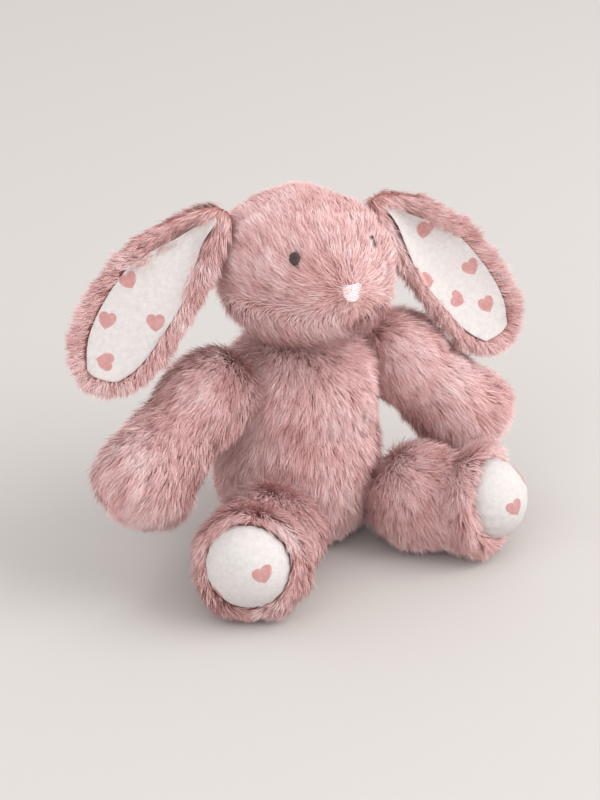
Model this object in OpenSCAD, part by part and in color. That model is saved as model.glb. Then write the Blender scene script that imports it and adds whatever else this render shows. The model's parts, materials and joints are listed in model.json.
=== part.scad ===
// Seated plush bunny: fur panels, velour ear linings and foot pads, stuffing and the threads
// that let its head, arms, legs, ears and tail flop about their seams.
// The toy faces -Y, its left side is +X, and the origin is the middle of its flat seat.

/* [Torso] */
// Height of the torso from the seat to the top of the neck
torso_h = 107; // [90:1:125]
// Half width of the torso at its fullest, over the fur
torso_half_w = 43; // [36:1:51]
// Half depth of the torso at its fullest, over the fur
torso_half_d = 39; // [33:1:47]

/* [Head] */
// Half width of the head, over the fur
head_half_w = 43; // [36:0.5:51]
// Half height of the head, over the fur
head_half_h = 38.5; // [32:0.5:46]
// Length of the head from the muzzle to its back
head_len = 86; // [72:1:104]
// How far the muzzle stands in front of the neck
muzzle_reach = 50; // [42:1:58]

/* [Ears] */
// Length of an ear
ear_len = 111; // [92:1:134]
// Half width of an ear at its widest, over the fur
ear_half_w = 23; // [19:0.5:28]
// Width of the furry border around the ear lining
ear_border = 7; // [5:0.5:9]
// Thickness of the furry back of an ear
ear_thick = 8; // [6:0.5:10]

/* [Arms] */
// Half thickness of an arm at its fullest, over the fur
arm_half = 21; // [18:0.5:26.5]
// Half width of a flat paw at its fullest, over the fur
paw_half = 24.5; // [22:0.5:31]
// Half thickness of an arm at the shoulder seam
arm_root_half = 15; // [12.5:0.5:18]
// Height of the shoulder seams
shoulder_z = 91; // [79:1:98]
// Reach of an arm from the shoulder seam to the paw
arm_len = 79; // [72:1:103]

/* [Legs] */
// Half thickness of a thigh, over the fur
thigh_half = 24; // [20:0.5:28]
// Half width of a foot across its furry rim
foot_half = 30.5; // [26:0.5:36]
// Half width of a leg at the hip seam
leg_root_half = 16; // [13:0.5:19]
// Length of a leg from the hip seam to the sole pad
leg_len = 46; // [38:1:56]
// Angle of the left leg from straight ahead
left_leg_spread = 46; // [38:1:50]
// Angle of the right leg from straight ahead
right_leg_spread = 44; // [37:1:50]
// How far the left sole turns back to the front
left_sole_turn = 14; // [0:1:20]
// How far the right sole turns back to the front
right_sole_turn = 3; // [0:1:20]
// Half width of the opening that holds a sole pad
pad_half = 20; // [16:0.5:24]

/* [Tail] */
// Half thickness of the tail puff
tail_half = 13; // [10:0.5:16]

/* [Materials and clearances] */
// Thickness of the fur fabric with its pile
fur = 5; // [4:0.5:6]
// Clearance between pieces that move past each other
gap = 0.4; // [0.3:0.1:0.6]
// Thickness of the sewing threads
thread = 1.4; // [1:0.1:2]

/* [Hidden] */

LEFT = 1;
RIGHT = -1;

// Colours
rose_fur = [0.80, 0.60, 0.59];
velour = [0.95, 0.93, 0.92];
fibre = [0.97, 0.96, 0.94];
brown_thread = [0.20, 0.13, 0.12];
pink_thread = [0.93, 0.80, 0.82];

// Stations along a stuffed tube and points around it
stations = 12;
around = 24;
seam_angle = 0.6;

// Directions from a yaw, to the toy's left from straight ahead, and a rise
function heading(yaw, rise) = [sin(yaw) * cos(rise), -cos(yaw) * cos(rise), sin(rise)];
function unit(v) = v / norm(v);
function square_to(v, axis) = unit(v - axis * (v * axis));

// A smooth value through evenly spaced values
function smooth_value(v, t) =
    let (n = len(v) - 1, k = min(n - 1, floor(t * n)), u = t * n - k)
    let (a = v[max(0, k - 1)], b = v[k], c = v[k + 1], d = v[min(n, k + 2)])
    b + 0.5 * u * (c - a + u * (2 * a - 5 * b + 4 * c - d + u * (3 * (b - c) + d - a)));

// A stuffed tube: [three control points, side direction, half widths, half depths,
// length of the rounding at its root, length of the rounding at its tip]
function bend(o, t) = let (p = o[0])
    p[0] * (1 - t) * (1 - t) + p[1] * (2 * t * (1 - t)) + p[2] * (t * t);
function bend_axis(o, t) = let (p = o[0])
    unit((p[1] - p[0]) * (1 - t) + (p[2] - p[1]) * t);
function tube_len(o) = let (p = o[0])
    (2 * norm(p[2] - p[0]) + norm(p[1] - p[0]) + norm(p[2] - p[1])) / 3;
function rounding(x) = x >= 1 ? 1 : sqrt(max(0, 1 - (1 - x) * (1 - x)));
function end_cut(run, cap, skin) = cap == 0 ? 1 : rounding(run / (cap - skin));

// The point of a tube at a station t and an angle a, moved inwards by skin
function tube_point(o, t, a, skin) =
    let (whole = tube_len(o), from = o[4] == 0 ? 0 : skin, to = o[5] == 0 ? 0 : skin)
    let (inner = whole - from - to, s = (from + t * inner) / whole)
    let (axis = bend_axis(o, s), side = square_to(o[1], axis), out = cross(axis, side))
    let (cut = end_cut(t * inner, o[4], skin) * end_cut((1 - t) * inner, o[5], skin))
    bend(o, s) + side * (cut * (smooth_value(o[2], s) - skin) * cos(a))
    + out * (cut * (smooth_value(o[3], s) - skin) * sin(a));

// Stations close up towards rounded ends
function station(i, n) = (1 - cos(180 * i / n)) / 2;

function tube_grid(o, a0, a1, n, skin, t0 = 0, t1 = 1) = [
    for (i = [0 : stations])
    [for (j = [0 : n]) tube_point(o, t0 + (t1 - t0) * station(i, stations),
        a0 + (a1 - a0) * j / n, skin)]
];

// A closed solid between two grids of points that face the same way
function grid_faces(rows, columns, from, flip) = [
    for (i = [0 : rows - 2], j = [0 : columns - 2], half = [0, 1])
    let (p = from + i * columns + j)
    let (f = half == 0 ? [p, p + 1, p + columns + 1] : [p, p + columns + 1, p + columns])
    flip ? f : [f[2], f[1], f[0]]
];
function edge_faces(line, from) = [
    for (k = [0 : len(line) - 2], half = [0, 1])
    half == 0 ? [line[k], from + line[k + 1], from + line[k]]
        : [line[k], line[k + 1], from + line[k + 1]]
];
function real_faces(points, faces) = [
    for (f = faces)
    if (norm(cross(points[f[1]] - points[f[0]], points[f[2]] - points[f[0]])) > 0.0001) f
];
module between(outer, inner) {
    rows = len(outer);
    columns = len(outer[0]);
    count = rows * columns;
    points = concat([for (row = outer) each row], [for (row = inner) each row]);
    first = [for (j = [0 : columns - 1]) j];
    last = [for (j = [0 : columns - 1]) count - 1 - j];
    left = [for (i = [0 : rows - 1]) (rows - 1 - i) * columns];
    right = [for (i = [0 : rows - 1]) i * columns + columns - 1];
    faces = concat(grid_faces(rows, columns, 0, false),
        grid_faces(rows, columns, count, true),
        edge_faces(first, count), edge_faces(right, count),
        edge_faces(last, count), edge_faces(left, count));
    polyhedron(points, real_faces(points, faces), convexity = 6);
}

// A fur panel that covers the angles from a0 to a1 of a tube
module panel(o, a0, a1, wall) {
    n = round(around * (a1 - a0) / 360);
    between(tube_grid(o, a0 + seam_angle, a1 - seam_angle, n, 0),
        tube_grid(o, a0 + seam_angle, a1 - seam_angle, n, wall));
}

// A closed solid through rings of points, closed to a point at both ends
function mean_point(ring) = [for (k = [0 : 2])
    [for (p = ring) p[k]] * [for (p = ring) 1] / len(ring)];
module rings_solid(rings) {
    n = len(rings[0]);
    count = len(rings) * n;
    points = concat([for (r = rings) each r],
        [mean_point(rings[0]), mean_point(rings[len(rings) - 1])]);
    sides = [
        for (i = [0 : len(rings) - 2], j = [0 : n - 1], half = [0, 1])
        let (p = i * n, k = (j + 1) % n)
        half == 0 ? [p + j, p + n + k, p + k] : [p + j, p + n + j, p + n + k]
    ];
    ends = [
        for (j = [0 : n - 1], half = [0, 1])
        let (k = (j + 1) % n, p = count - n)
        half == 0 ? [count, j, k] : [count + 1, p + k, p + j]
    ];
    polyhedron(points, real_faces(points, concat(sides, ends)), convexity = 4);
}

// The filling of a tube between two of its stations, skin deep inside it
filling_points = 16;
filling_stations = 8;
module filling(o, skin, t0, t1) {
    rings_solid([
        for (i = [0 : filling_stations])
        [for (j = [0 : filling_points - 1])
            tube_point(o, t0 + (t1 - t0) * station(i, filling_stations),
                360 * j / filling_points, skin)]
    ]);
}

// A low dome on a surface: its foot, the surface's normal, its own upright direction,
// its half width and half height along the surface, and how proud it stands
dome_points = 12;
dome_rings = 3;
dome_lift = 28;
dome_close = 26;
function dome_ring(foot, normal, up, half, lift, share) =
    let (v = square_to(up, normal), u = cross(v, normal))
    [for (j = [0 : dome_points - 1]) let (a = 360 * j / dome_points)
        foot + normal * lift + u * (share * half[0] * cos(a)) + v * (share * half[1] * sin(a))];
module dome(foot, normal, up, half, proud) {
    rings_solid([
        for (k = [0 : dome_rings])
        dome_ring(foot, normal, up, half, gap / 2 + proud * sin(k * dome_lift),
            cos(k * dome_close))
    ]);
}

// A ring of thread about a point, square to a direction
ring_sides = 12;
module thread_ring(at, axis, radius) {
    translate(at)
        rotate([0, acos(axis[2]), atan2(axis[1], axis[0])])
            rotate_extrude($fn = ring_sides)
                translate([radius, 0])
                    circle(d = thread, $fn = 6);
}

// Torso: pear shaped, flat below, with sloping shoulders and a dome where the neck is tied
neck_half = 17;
shoulder_slope = 11;
chest_slope = 6;
torso_shares = [0.7, 0.89, 0.98, 1, 0.97, 0.9, 0.82];
torso_widths = concat(torso_half_w * torso_shares, [neck_half + shoulder_slope, neck_half]);
torso_depths = concat(torso_half_d * torso_shares, [neck_half + chest_slope, neck_half]);
torso = [[[0, 0, 0], [0, 0, torso_h / 2], [0, 0, torso_h]], [1, 0, 0],
    torso_widths, torso_depths, 0, neck_half];
belly_edge = 196;

// How far the torso reaches at a height and a yaw, and the reach of a ball that rests on it
function torso_reach(z, yaw) =
    let (t = min(1, max(0, z / torso_h)), cut = end_cut(torso_h - z, neck_half, 0))
    cut / norm([sin(yaw) / smooth_value(torso_widths, t), cos(yaw) / smooth_value(torso_depths, t)]);
function ball_reach(z, yaw, r) = max([
    for (k = [-8 : 8])
    let (dz = r * k / 8)
    if (z + dz >= 0 && z + dz < torso_h)
        torso_reach(z + dz, yaw) + sqrt(max(0, (r + 2 * gap) * (r + 2 * gap) - dz * dz))
]);

// Head: a round loaf that narrows to the muzzle
head_z = torso_h + gap + head_half_h;
muzzle_drop = 3;
head_widths = head_half_w * [0.56, 0.72, 0.87, 0.96, 1, 1, 0.99, 0.95, 0.84];
head_heights = head_half_h * [0.5, 0.66, 0.83, 0.95, 1, 1, 0.99, 0.95, 0.84];
head = [[[0, -muzzle_reach, head_z - muzzle_drop], [0, head_len / 2 - muzzle_reach, head_z],
    [0, head_len - muzzle_reach, head_z]], [1, 0, 0], head_widths, head_heights, 16, 34];
// The gusset's half angle, the eyes' station and angle on the head, and the crown's angle
gusset_half = 26;
eye_station = 0.165;
eye_angle = 44;
crown = 270;

// A point of the head's surface, and the way that the surface faces there
function head_point(t, a) = tube_point(head, t, a, 0);
function head_normal(t, a) =
    unit(cross(head_point(t, a + 3) - head_point(t, a - 3),
        head_point(t + 0.01, a) - head_point(t - 0.01, a)));

// Ears: long cupped leaves, tied at the sides of the crown, that bend down part of the way along
ear_bend_at = 0.42;
ear_drop = 0.6;
ear_root = 8;
ear_station = 0.62;
left_ear_angle = 67;
right_ear_angle = 55;
ear_cup = 3;
lining_proud = 1.6;
ear_shares = [0.27, 0.5, 0.72, 0.87, 0.97, 1, 0.98, 0.9, 0.8];
// Yaw and rise at the root, yaw and rise towards the tip, and the way that the lining faces
left_ear_pose = [88, -36, 48, -56, [0, -1, 0.3]];
right_ear_pose = [-96, -24, -85, -61, [-0.45, -1, 0.25]];
function ear_spot(side) = side == LEFT ? crown + left_ear_angle : crown - right_ear_angle;
function ear_pivot(side) = head_point(ear_station, ear_spot(side))
    + head_normal(ear_station, ear_spot(side)) * (ear_root + gap);
function ear_pose(side) = side == LEFT ? left_ear_pose : right_ear_pose;
function ear_line(side) =
    let (pose = ear_pose(side), out = heading(pose[0], pose[1]), down = heading(pose[2], pose[3]))
    let (front = square_to(pose[4], out) * ear_thick / 2)
    let (from = ear_pivot(side) + front - out * (ear_root + gap), elbow = from + out * ear_len * ear_bend_at)
    [[from, elbow, elbow + down * ear_len * ear_drop], pose[4]];
function ear_wide(s) = smooth_value(ear_half_w * ear_shares, s)
    * rounding((1 - s) * ear_len / (ear_half_w * 0.9)) * rounding(s * ear_len / ear_root);
function ear_point(e, s, x, lift) =
    let (axis = bend_axis(e, s), face = square_to(e[1], axis), across = cross(axis, face))
    let (w = x * ear_wide(s))
    bend(e, s) + across * w + face * (ear_cup * pow(w / ear_half_w, 2) + lift);
function ear_rim(s) = rounding((1 - s) * ear_len / ear_thick) * rounding(s * ear_len / ear_root);
ear_columns = 10;

// Limbs: an arm bends at its elbow and a leg at its ankle, each at a share of its length
elbow_at = 0.45;
ankle_at = 0.5;
shoulder_yaw = 82;
hip_z = thigh_half;
// Rounding of the paw, and extra room between an arm's root and the torso
paw_cap = 21;
armpit = 1.6;
arm_shares = [0.6, 0.74, 0.84, 0.92, 0.97, 1.02, 1.06, 1.07, 1];
// Yaw and rise at the shoulder, and yaw and rise towards the paw
left_arm_pose = [80, -40, 64, -52];
right_arm_pose = [-80, -27, -66, -44];
function paw_list() = [
    for (k = [0 : len(arm_shares) - 1])
    let (half = arm_half + (paw_half - arm_half) * k / (len(arm_shares) - 1))
    max(arm_root_half, arm_shares[k] * half)
];
function mirrored(side, v) = [side * v[0], v[1], v[2]];
function arm_pose(side) = side == LEFT ? left_arm_pose : right_arm_pose;
function shoulder(side) =
    let (reach = ball_reach(shoulder_z, shoulder_yaw, arm_root_half) + armpit)
    mirrored(side, [0, 0, shoulder_z] + heading(shoulder_yaw, 0) * reach);
function arm_out(side) = heading(arm_pose(side)[0], arm_pose(side)[1]);
function arm(side) =
    let (pose = arm_pose(side), down = heading(pose[2], pose[3]), out = arm_out(side))
    let (elbow = shoulder(side) + out * arm_len * elbow_at)
    [[shoulder(side) - out * arm_root_half, elbow,
        elbow + down * arm_len * (1 - elbow_at)], [0, 1, 0],
        [for (k = arm_shares) max(arm_root_half, k * arm_half)], paw_list(), arm_root_half,
        paw_cap];

function leg_spread(side) = side == LEFT ? left_leg_spread : right_leg_spread;
function sole_turn(side) = side == LEFT ? left_sole_turn : right_sole_turn;
function leg_out(side) = mirrored(side, heading(leg_spread(side), 0));
function hip(side) =
    [0, 0, hip_z] + leg_out(side) * ball_reach(hip_z, leg_spread(side), leg_root_half);
// Shares of the thigh along a leg, from its root, which is at least as wide as the hip seam
leg_shares = [0, 0.8, 0.93, 0.98, 1, 1.03];
function leg_list(foot) = concat([for (k = leg_shares) max(leg_root_half, k * thigh_half)],
    [0.9 * foot, 0.97 * foot, pad_half + fur]);
function leg(side) =
    let (out = leg_out(side), ankle = hip(side) + out * leg_len * ankle_at)
    let (turned = mirrored(side, heading(leg_spread(side) - sole_turn(side), 0)))
    let (sole = ankle + turned * leg_len * (1 - ankle_at) + [0, 0, foot_half - hip_z])
    [[hip(side) - out * leg_root_half, ankle, sole], [0, 0, 1],
        leg_list(foot_half * 0.98), leg_list(foot_half), leg_root_half, 0];

// Tail: a round puff behind the seat
tail_root = 7;
tail_z = 24;
tail_len = 30;
tail_shares = [0.54, 0.8, 1, 1, 1];
tail_pivot = [0, ball_reach(tail_z, 180, tail_root), tail_z];
tail = [[tail_pivot - [0, tail_root, 0], tail_pivot + [0, tail_len / 2 - tail_root, 0],
    tail_pivot + [0, tail_len - tail_root, 0]], [1, 0, 0],
    tail_half * tail_shares, tail_half * tail_shares, tail_root, tail_half];

// Torso pieces
// Thickness of the seat panel and top of the pellets in the seat
seat_thick = 5;
pellet_top = 26;
module belly_panel() {
    color(rose_fur)
        panel(torso, belly_edge, 540 - belly_edge, fur);
}
module back_left_panel() {
    color(rose_fur)
        panel(torso, 180 - belly_edge, 90, fur);
}
module back_right_panel() {
    color(rose_fur)
        panel(torso, 90, belly_edge, fur);
}
module seat_panel() {
    color(rose_fur)
        rings_solid([
            for (z = [0, seat_thick])
            [for (j = [0 : around - 1])
                tube_point(torso, z / torso_h, 360 * j / around, fur + gap)]
        ]);
}
module pellet_bag() {
    color(fibre)
        filling(torso, fur + 2 * gap, (seat_thick + gap) / torso_h, pellet_top / torso_h);
}
module torso_stuffing() {
    color(fibre)
        filling(torso, fur + 2 * gap, (pellet_top + gap) / torso_h, 1);
}
// Ladder stitches that close the back seam: how many, the first one's share of the height
// and the share from one to the next
stitch_count = 6;
stitch_from = 0.42;
stitch_step = 0.045;
module closing_stitches() {
    color(pink_thread)
        for (k = [0 : stitch_count - 1]) {
            t = stitch_from + k * stitch_step;
            foot = tube_point(torso, t, 90, 0);
            normal = unit(cross(tube_point(torso, t, 93, 0) - tube_point(torso, t, 87, 0),
                tube_point(torso, t + 0.02, 90, 0) - foot));
            dome(foot, normal, [1, 0, 0.3], [thread / 2, 2.5], thread / 2);
        }
}
// Care label, caught in the seat seam: its angle, span, thickness and ends along the torso
label_angle = 52;
label_span = 16;
label_thick = 0.6;
label_foot = 0.02;
label_top = 0.17;
function label_grid(skin) =
    tube_grid(torso, label_angle, label_angle + label_span, 4, skin, label_foot, label_top);
module care_label() {
    color(velour)
        between(label_grid(-gap - label_thick), label_grid(-gap));
}
module neck_tie() {
    tie_z = torso_h - 5;
    color(pink_thread)
        thread_ring([0, 0, tie_z], [0, 0, 1],
            (torso_reach(tie_z, 90) + gap + thread / 2) / cos(180 / ring_sides));
}

// Head pieces
module head_gusset() {
    color(rose_fur)
        panel(head, crown - gusset_half, crown + gusset_half, fur);
}
module head_left_panel() {
    color(rose_fur)
        panel(head, crown + gusset_half - 360, 90, fur);
}
module head_right_panel() {
    color(rose_fur)
        panel(head, 90, crown - gusset_half, fur);
}
module head_stuffing() {
    color(fibre)
        filling(head, fur + 2 * gap, 0, 1);
}
// Half sizes of the stitched eyes and nose, and how proud they stand
eye_half = [2.9, 3.7];
eye_proud = 1.4;
module eye(side) {
    a = side == LEFT ? -eye_angle : 180 + eye_angle;
    color(brown_thread)
        dome(head_point(eye_station, a), head_normal(eye_station, a), [0, 0, 1], eye_half, eye_proud);
}
nose_half = [5.2, 4.3];
nose_proud = 1.5;
nose_lift = 3;
muzzle = head_point(0, 0) - [0, gap, 0];
module nose() {
    color(pink_thread)
        dome(muzzle + [0, 0, nose_lift], [0, -1, 0], [0, 0, 1], nose_half, nose_proud);
}
module mouth_stitch() {
    color(pink_thread)
        dome(muzzle - [0, 0, nose_half[1] + 1.5], [0, -1, 0], [0, 0, 1], [thread / 2, 2.6], thread / 2);
}
module ear_back(side) {
    e = ear_line(side);
    color(rose_fur)
        between(
            [for (i = [0 : stations]) let (s = station(i, stations))
                [for (j = [0 : ear_columns]) ear_point(e, s, -cos(180 * j / ear_columns), 0)]],
            [for (i = [0 : stations]) let (s = station(i, stations))
                [for (j = [0 : ear_columns]) let (x = -cos(180 * j / ear_columns))
                    ear_point(e, s, x, -ear_thick * ear_rim(s) * sqrt(1 - x * x))]]);
}
// The lining's ends along the ear
lining_from = 0.1;
lining_to = 1 - ear_border / ear_len;
module ear_lining(side) {
    e = ear_line(side);
    function lining_point(s, x, lift) =
        ear_point(e, s, x * max(0, 1 - ear_border / max(ear_border, ear_wide(s))), lift);
    color(velour)
        between(
            [for (i = [0 : stations])
                let (s = lining_from + (lining_to - lining_from) * station(i, stations))
                [for (j = [0 : ear_columns]) let (x = -cos(180 * j / ear_columns))
                    lining_point(s, x, gap / 2 + lining_proud * sqrt(1 - x * x))]],
            [for (i = [0 : stations])
                let (s = lining_from + (lining_to - lining_from) * station(i, stations))
                [for (j = [0 : ear_columns]) lining_point(s, -cos(180 * j / ear_columns), gap / 2)]]);
}

// Arm pieces
function past_root(o, root) = (root * 1.7 - fur) / tube_len(o);
module arm_tie(side) {
    color(pink_thread)
        thread_ring(shoulder(side), arm_out(side), arm_root_half - fur - gap - thread / 2);
}
module arm_back_panel(side) {
    color(rose_fur)
        panel(arm(side), -90, 90, fur);
}
module arm_front_panel(side) {
    color(rose_fur)
        panel(arm(side), 90, 270, fur);
}
module arm_stuffing(side) {
    color(fibre)
        filling(arm(side), fur + 2 * gap, past_root(arm(side), arm_root_half), 1);
}

// Leg pieces
module leg_tie(side) {
    color(pink_thread)
        thread_ring(hip(side), leg_out(side), leg_root_half - fur - gap - thread / 2);
}
module leg_top_panel(side) {
    color(rose_fur)
        panel(leg(side), -90, 90, fur);
}
module leg_under_panel(side) {
    color(rose_fur)
        panel(leg(side), 90, 270, fur);
}
// Sole pad: its thickness, how deep it sits in its rim, and the room behind it
pad_thick = 3;
pad_inset = 1.2;
pad_backing = 4.5;
module leg_stuffing(side) {
    o = leg(side);
    color(fibre)
        filling(o, fur + 2 * gap, past_root(o, leg_root_half),
            1 - (pad_thick + pad_inset + pad_backing) / tube_len(o));
}
module foot_pad(side) {
    o = leg(side);
    axis = bend_axis(o, 1);
    sole = o[0][2];
    color(velour)
        rings_solid([
            for (k = [0 : 3])
            dome_ring(sole - axis * (pad_thick + pad_inset), axis, [0, 0, 1],
                [pad_half - gap, pad_half - gap], pad_thick * k / 3, k == 3 ? 0.93 : 1)
        ]);
}

// Tail pieces
module tail_cover() {
    color(rose_fur)
        panel(tail, 0, 360, fur);
}
module tail_stuffing() {
    color(fibre)
        filling(tail, fur + 2 * gap, 0, 1);
}

belly_panel();
back_left_panel();
back_right_panel();
seat_panel();
torso_stuffing();
pellet_bag();
closing_stitches();
care_label();
neck_tie();
head_gusset();
head_left_panel();
head_right_panel();
head_stuffing();
eye(LEFT);  // left_eye
eye(RIGHT);  // right_eye
nose();
mouth_stitch();
ear_back(LEFT);  // left_ear_back
ear_lining(LEFT);  // left_ear_lining
ear_back(RIGHT);  // right_ear_back
ear_lining(RIGHT);  // right_ear_lining
arm_tie(LEFT);  // left_arm_tie
arm_front_panel(LEFT);  // left_arm_front_panel
arm_back_panel(LEFT);  // left_arm_back_panel
arm_stuffing(LEFT);  // left_arm_stuffing
arm_tie(RIGHT);  // right_arm_tie
arm_front_panel(RIGHT);  // right_arm_front_panel
arm_back_panel(RIGHT);  // right_arm_back_panel
arm_stuffing(RIGHT);  // right_arm_stuffing
leg_tie(LEFT);  // left_leg_tie
leg_top_panel(LEFT);  // left_leg_top_panel
leg_under_panel(LEFT);  // left_leg_under_panel
leg_stuffing(LEFT);  // left_leg_stuffing
foot_pad(LEFT);  // left_foot_pad
leg_tie(RIGHT);  // right_leg_tie
leg_top_panel(RIGHT);  // right_leg_top_panel
leg_under_panel(RIGHT);  // right_leg_under_panel
leg_stuffing(RIGHT);  // right_leg_stuffing
foot_pad(RIGHT);  // right_foot_pad
tail_cover();
tail_stuffing();
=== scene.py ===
# %% [markdown]
# # A seated plush bunny
# A soft toy is a set of stuffed bags sewn together. Each bag here gets three layers, from the
# inside out: a padded body, the pile that grows on it, and the small sewn details. The frame
# that is loaded first says where every piece sits and how it moves.

# %% Load the frame
import json
import math

import bmesh
import bpy
import numpy as np
from mathutils import Matrix, Vector
from mathutils.bvhtree import BVHTree


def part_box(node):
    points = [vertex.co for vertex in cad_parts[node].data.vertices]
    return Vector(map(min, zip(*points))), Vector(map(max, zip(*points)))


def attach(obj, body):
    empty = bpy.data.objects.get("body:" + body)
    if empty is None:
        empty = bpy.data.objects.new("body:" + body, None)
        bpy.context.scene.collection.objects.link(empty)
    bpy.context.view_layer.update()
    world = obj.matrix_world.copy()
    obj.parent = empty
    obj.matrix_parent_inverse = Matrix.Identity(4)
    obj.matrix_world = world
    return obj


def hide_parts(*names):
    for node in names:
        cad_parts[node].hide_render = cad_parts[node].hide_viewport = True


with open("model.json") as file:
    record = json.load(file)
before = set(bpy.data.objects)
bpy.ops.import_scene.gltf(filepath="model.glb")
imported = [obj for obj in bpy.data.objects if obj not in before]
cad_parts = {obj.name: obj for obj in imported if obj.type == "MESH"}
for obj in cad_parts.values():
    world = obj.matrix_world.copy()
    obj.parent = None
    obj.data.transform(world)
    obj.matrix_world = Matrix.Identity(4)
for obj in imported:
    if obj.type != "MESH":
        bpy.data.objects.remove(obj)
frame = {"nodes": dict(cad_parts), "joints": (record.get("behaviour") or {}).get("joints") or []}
bpy.context.view_layer.update()
scene = bpy.context.scene
MM = 0.001

# %% [markdown]
# ## Camera, floor and light
# A long lens from a metre away keeps the toy's proportions honest. A wide pale floor runs out
# of sight, so there is no horizon, and two soft panels light the toy: a large one from its
# left and above, and a weak one that opens the shadows.

# %% Camera
target = Vector((0, 0, 68 * MM))
turn, lift = math.radians(-30), math.radians(25)
back = Vector((math.sin(turn) * math.cos(lift), -math.cos(turn) * math.cos(lift), math.sin(lift)))
camera = bpy.data.objects.new("camera", bpy.data.cameras.new("camera"))
scene.collection.objects.link(camera)
camera.location = target + back * 1.1
camera.rotation_euler = (-back).to_track_quat("-Z", "Y").to_euler()
camera.data.lens = 99
camera.data.sensor_width = 36
camera.data.shift_x = 0.0025
camera.data.shift_y = 0.005
scene.camera = camera

# %% [markdown]
# Every tree in this file is built with the same few helpers: one that adds a node and fills its
# sockets, and short forms for sums on numbers and vectors.

# %% Helpers for nodes
def add(tree, kind, values=None, **settings):
    """Adds a node; values are sockets to link or plain numbers, by input name or place."""
    made = tree.nodes.new(kind)
    for name, value in settings.items():
        setattr(made, name, value)
    for key, value in (values or {}).items():
        if isinstance(value, bpy.types.NodeSocket):
            tree.links.new(value, made.inputs[key])
        else:
            made.inputs[key].default_value = value
    return made


def maths(tree, operation, *values):
    """A Math node on numbers or sockets, as its result."""
    return add(tree, "ShaderNodeMath", dict(enumerate(values)), operation=operation).outputs[0]


def vectors(tree, operation, *values):
    """A Vector Math node on vectors or sockets, as its first result."""
    return add(tree, "ShaderNodeVectorMath", dict(enumerate(values)), operation=operation).outputs[0]


def rgb(red, green, blue):
    """A screen colour from 0 to 255 as Blender's linear colour."""
    shares = [value / 255 for value in (red, green, blue)]
    return [s / 12.92 if s < 0.04045 else ((s + 0.055) / 1.055) ** 2.4 for s in shares] + [1]


def new_material(name):
    """An empty material: its tree and its Principled shader."""
    made = bpy.data.materials.new(name)
    made.use_nodes = True
    tree = made.node_tree
    return made, tree, tree.nodes["Principled BSDF"]


# %% Floor
floor_material, tree, shader = new_material("pale_floor")
shader.inputs["Base Color"].default_value = rgb(196, 192, 189)
shader.inputs["Roughness"].default_value = 0.9
shader.inputs["Specular IOR Level"].default_value = 0.1
floor_mesh = bpy.data.meshes.new("floor")
rim = [(12 * math.cos(k * math.pi / 32), 12 * math.sin(k * math.pi / 32), 0) for k in range(64)]
floor_mesh.from_pydata(rim, [], [list(range(64))])
floor_mesh.materials.append(floor_material)
floor = bpy.data.objects.new("floor", floor_mesh)
scene.collection.objects.link(floor)


# %% Light
def soft_panel(name, azimuth, height, distance, size, power, colour):
    """A square area light that looks at the toy."""
    data = bpy.data.lights.new(name, "AREA")
    data.shape = "DISK"
    data.size = size
    data.energy = power
    data.color = colour
    lamp = bpy.data.objects.new(name, data)
    a, e = math.radians(azimuth), math.radians(height)
    way = Vector((math.sin(a) * math.cos(e), -math.cos(a) * math.cos(e), math.sin(e)))
    lamp.location = target + way * distance
    lamp.rotation_euler = (-way).to_track_quat("-Z", "Y").to_euler()
    scene.collection.objects.link(lamp)


soft_panel("window", 48, 36, 2.0, 1.9, 29, (1.0, 0.985, 0.975))
soft_panel("reflector", -62, 22, 2.2, 2.0, 12, (0.98, 0.985, 1.0))
world = bpy.data.worlds.new("room")
world.use_nodes = True
world.node_tree.nodes["Background"].inputs["Color"].default_value = (0.90, 0.89, 0.885, 1)
world.node_tree.nodes["Background"].inputs["Strength"].default_value = 1.16
scene.world = world
scene.view_settings.view_transform = "Standard"

# %% [markdown]
# ## Padded bodies
# Each stuffed bag is one padded body under its pile. The frame holds its panels as solids with
# seam gaps between them. Joining copies of the panels and remeshing them into voxels closes
# the gaps, and only the outermost shell is kept. It is moved in by the depth of the pile,
# then a short cloth simulation with pressure inside swells it as stuffing does.

# %% Helpers for meshes
def mesh_object(name, mesh):
    """A new object for a mesh, linked to the scene."""
    made = bpy.data.objects.new(name, mesh)
    scene.collection.objects.link(made)
    return made


def evaluated_mesh(obj):
    """The mesh that an object's modifiers make."""
    graph = bpy.context.evaluated_depsgraph_get()
    return bpy.data.meshes.new_from_object(obj.evaluated_get(graph), depsgraph=graph)


def drop(obj):
    """Removes a helper object and its mesh."""
    data = obj.data
    bpy.data.objects.remove(obj)
    bpy.data.meshes.remove(data)


# %% The outermost shell of a mesh
def outer_shell(mesh):
    """Keeps the part of a mesh that reaches furthest out."""
    shell = bmesh.new()
    shell.from_mesh(mesh)
    left = set(shell.verts)
    islands = []
    while left:
        start = left.pop()
        island, queue = {start}, [start]
        while queue:
            for edge in queue.pop().link_edges:
                for vert in edge.verts:
                    if vert in left:
                        left.discard(vert)
                        island.add(vert)
                        queue.append(vert)
        islands.append(island)
    keep = max(islands, key=lambda i: max(v.co.x for v in i) - min(v.co.x for v in i))
    bmesh.ops.delete(shell, geom=[v for v in shell.verts if v not in keep], context="VERTS")
    bmesh.ops.recalc_face_normals(shell, faces=shell.faces)
    shell.to_mesh(mesh)
    shell.free()
    return mesh


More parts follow.
